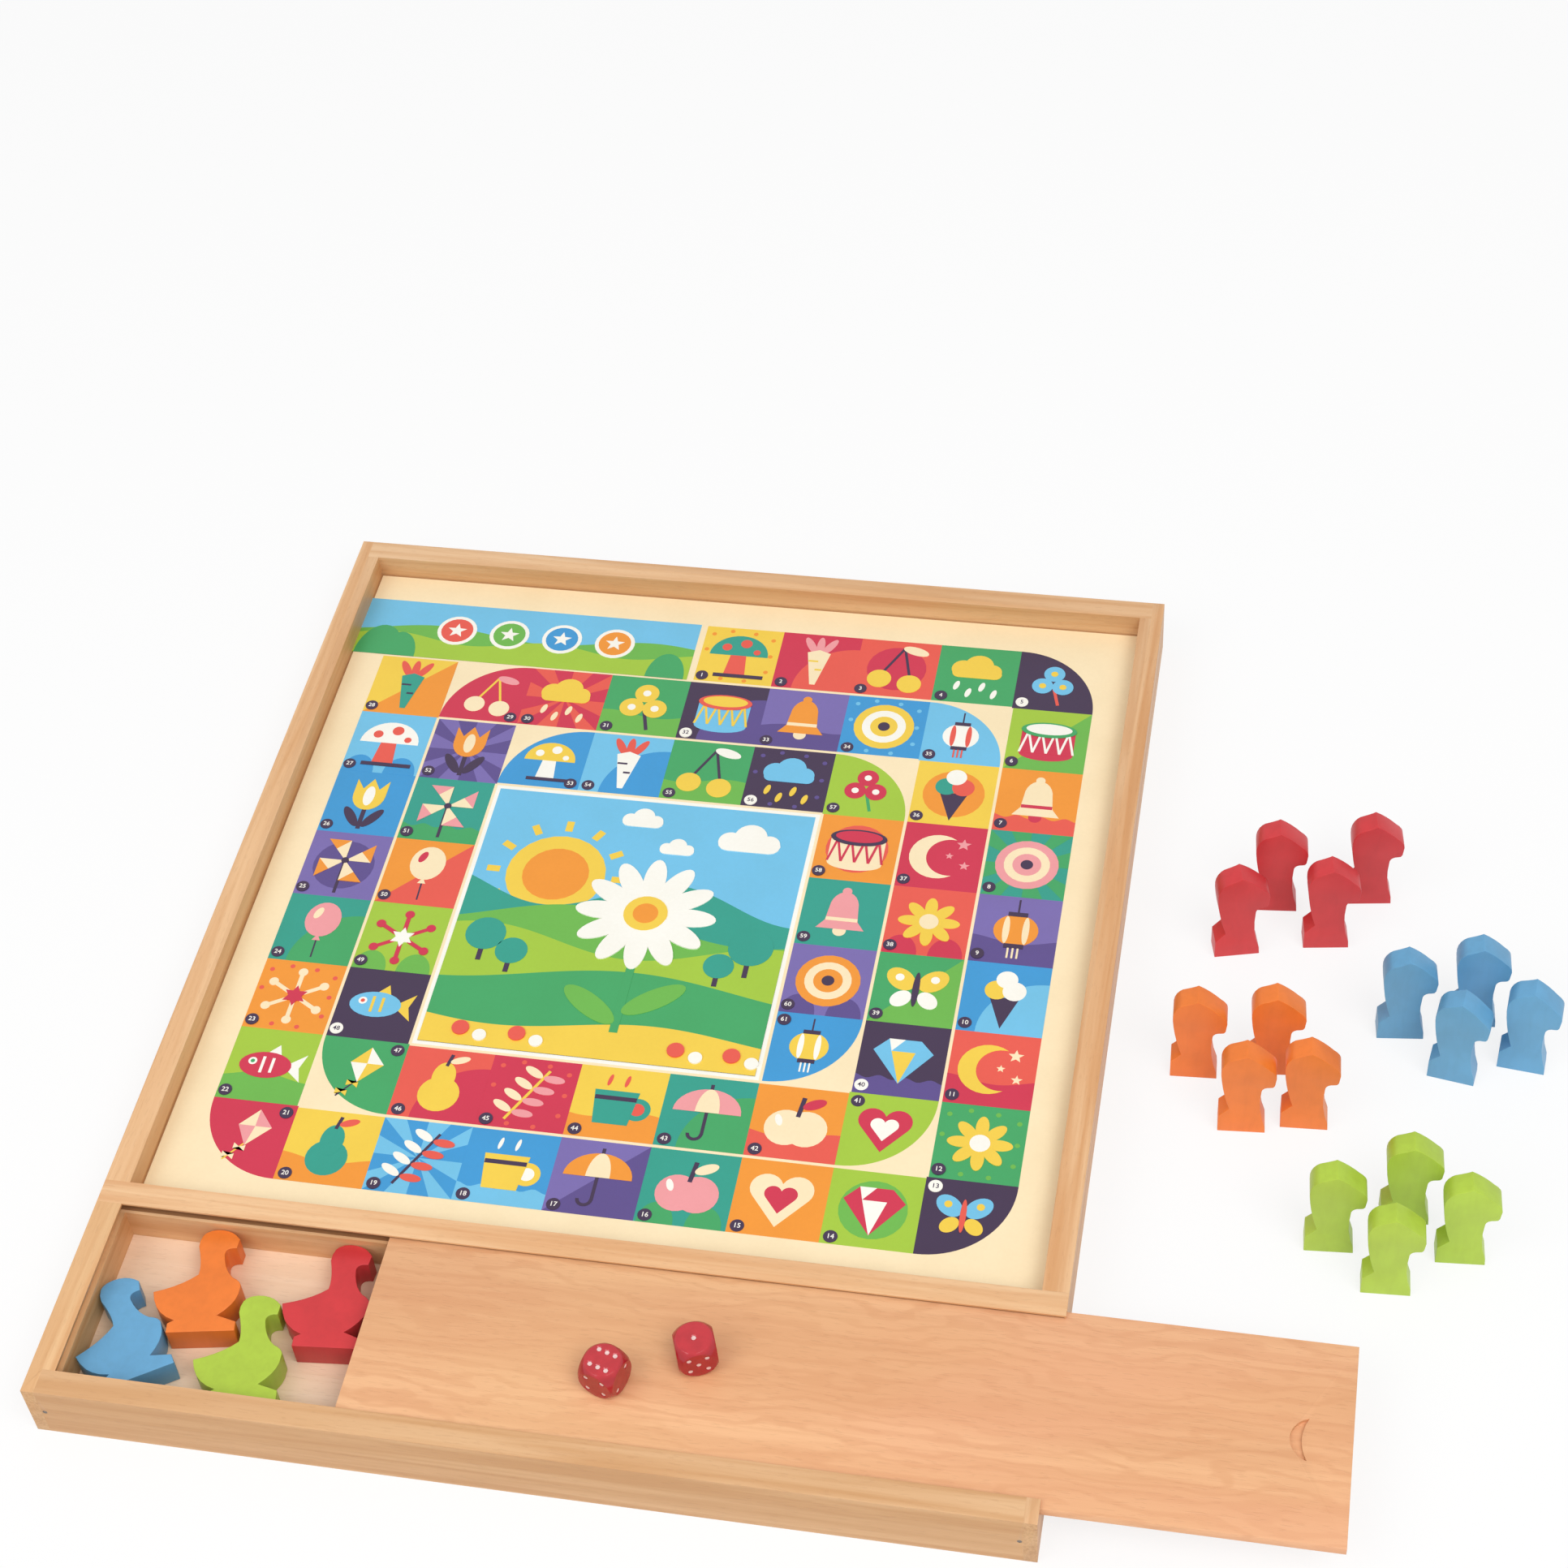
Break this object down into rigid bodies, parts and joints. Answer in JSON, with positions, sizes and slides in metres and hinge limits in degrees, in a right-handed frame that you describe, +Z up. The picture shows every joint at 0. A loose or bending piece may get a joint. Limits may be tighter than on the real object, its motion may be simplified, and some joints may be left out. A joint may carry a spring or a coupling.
{
  "type": "games compendium box",
  "caption": "Wooden games box with a printed race game on each face and a tray under a sliding lid, with flat geese, standing horses and rounded dice.",
  "frame": {"origin": "middle of the divider rail's underside, on the surface that the box lies on", "axes": "+X the way the lid slides out, +Y from the tray to the back of the game board, +Z up out of the spiral game"},
  "size_m": [0.4108, 0.3449, 0.0355],
  "materials": {
    "beech": "light beech, fine pores, satin varnish",
    "plywood": "thin birch-faced plywood, satin varnish",
    "board": "thin fibreboard under the printed sheets",
    "print": "printed paper on the board, satin varnish",
    "steel": "dull brads",
    "blue_paint": "stained and varnished blue",
    "orange_paint": "stained and varnished orange",
    "green_paint": "stained and varnished green",
    "red_paint": "stained and varnished red",
    "dice_red": "red lacquer with white pips"
  },
  "bodies": {
    "box": {"left_rail": "beech", "right_rail": "beech", "back_rail": "beech", "front_rail": "beech", "divider_rail": "beech", "tray_left_rail": "beech", "tray_right_rail": "beech", "game_board": "board", "spiral_sheet": "print", "cross_sheet": "print", "tray_floor": "plywood", "corner_brads": "steel", "divider_dowels": "beech"},
    "lid": {"sliding_lid": "plywood"},
    "goose_blue": {"goose_blue": "blue_paint"},
    "goose_orange": {"goose_orange": "orange_paint"},
    "goose_green": {"goose_green": "green_paint"},
    "goose_red": {"goose_red": "red_paint"},
    "horse_red_1": {"horse_red_1": "red_paint"},
    "horse_red_2": {"horse_red_2": "red_paint"},
    "horse_red_3": {"horse_red_3": "red_paint"},
    "horse_red_4": {"horse_red_4": "red_paint"},
    "horse_blue_1": {"horse_blue_1": "blue_paint"},
    "horse_blue_2": {"horse_blue_2": "blue_paint"},
    "horse_blue_3": {"horse_blue_3": "blue_paint"},
    "horse_blue_4": {"horse_blue_4": "blue_paint"},
    "horse_orange_1": {"horse_orange_1": "orange_paint"},
    "horse_orange_2": {"horse_orange_2": "orange_paint"},
    "horse_orange_3": {"horse_orange_3": "orange_paint"},
    "horse_orange_4": {"horse_orange_4": "orange_paint"},
    "horse_green_1": {"horse_green_1": "green_paint"},
    "horse_green_2": {"horse_green_2": "green_paint"},
    "horse_green_3": {"horse_green_3": "green_paint"},
    "horse_green_4": {"horse_green_4": "green_paint"},
    "die_1": {"die_1": "dice_red"},
    "die_2": {"die_2": "dice_red"}
  },
  "joints": [
    {"name": "lid_slide", "type": "slide", "parent": "box", "child": "lid", "axis": [1, 0, 0], "range_m": [-0.0814, 0.1923]},
    {"name": "goose_blue_lift", "type": "slide", "parent": "box", "child": "goose_blue", "axis": [0, 0, 1], "range_m": [0, 0.1]},
    {"name": "goose_orange_lift", "type": "slide", "parent": "box", "child": "goose_orange", "axis": [0, 0, 1], "range_m": [0, 0.1]},
    {"name": "goose_green_lift", "type": "slide", "parent": "box", "child": "goose_green", "axis": [0, 0, 1], "range_m": [0, 0.1]},
    {"name": "goose_red_lift", "type": "slide", "parent": "box", "child": "goose_red", "axis": [0, 0, 1], "range_m": [0, 0.1]},
    {"name": "horse_red_1_lift", "type": "slide", "parent": "box", "child": "horse_red_1", "axis": [0, 0, 1], "range_m": [0, 0.1]},
    {"name": "horse_red_2_lift", "type": "slide", "parent": "box", "child": "horse_red_2", "axis": [0, 0, 1], "range_m": [0, 0.1]},
    {"name": "horse_red_3_lift", "type": "slide", "parent": "box", "child": "horse_red_3", "axis": [0, 0, 1], "range_m": [0, 0.1]},
    {"name": "horse_red_4_lift", "type": "slide", "parent": "box", "child": "horse_red_4", "axis": [0, 0, 1], "range_m": [0, 0.1]},
    {"name": "horse_blue_1_lift", "type": "slide", "parent": "box", "child": "horse_blue_1", "axis": [0, 0, 1], "range_m": [0, 0.1]},
    {"name": "horse_blue_2_lift", "type": "slide", "parent": "box", "child": "horse_blue_2", "axis": [0, 0, 1], "range_m": [0, 0.1]},
    {"name": "horse_blue_3_lift", "type": "slide", "parent": "box", "child": "horse_blue_3", "axis": [0, 0, 1], "range_m": [0, 0.1]},
    {"name": "horse_blue_4_lift", "type": "slide", "parent": "box", "child": "horse_blue_4", "axis": [0, 0, 1], "range_m": [0, 0.1]},
    {"name": "horse_orange_1_lift", "type": "slide", "parent": "box", "child": "horse_orange_1", "axis": [0, 0, 1], "range_m": [0, 0.1]},
    {"name": "horse_orange_2_lift", "type": "slide", "parent": "box", "child": "horse_orange_2", "axis": [0, 0, 1], "range_m": [0, 0.1]},
    {"name": "horse_orange_3_lift", "type": "slide", "parent": "box", "child": "horse_orange_3", "axis": [0, 0, 1], "range_m": [0, 0.1]},
    {"name": "horse_orange_4_lift", "type": "slide", "parent": "box", "child": "horse_orange_4", "axis": [0, 0, 1], "range_m": [0, 0.1]},
    {"name": "horse_green_1_lift", "type": "slide", "parent": "box", "child": "horse_green_1", "axis": [0, 0, 1], "range_m": [0, 0.1]},
    {"name": "horse_green_2_lift", "type": "slide", "parent": "box", "child": "horse_green_2", "axis": [0, 0, 1], "range_m": [0, 0.1]},
    {"name": "horse_green_3_lift", "type": "slide", "parent": "box", "child": "horse_green_3", "axis": [0, 0, 1], "range_m": [0, 0.1]},
    {"name": "horse_green_4_lift", "type": "slide", "parent": "box", "child": "horse_green_4", "axis": [0, 0, 1], "range_m": [0, 0.1]},
    {"name": "die_1_lift", "type": "slide", "parent": "lid", "child": "die_1", "axis": [0, 0, 1], "range_m": [0, 0.1]},
    {"name": "die_2_lift", "type": "slide", "parent": "lid", "child": "die_2", "axis": [0, 0, 1], "range_m": [0, 0.1]}
  ]
}
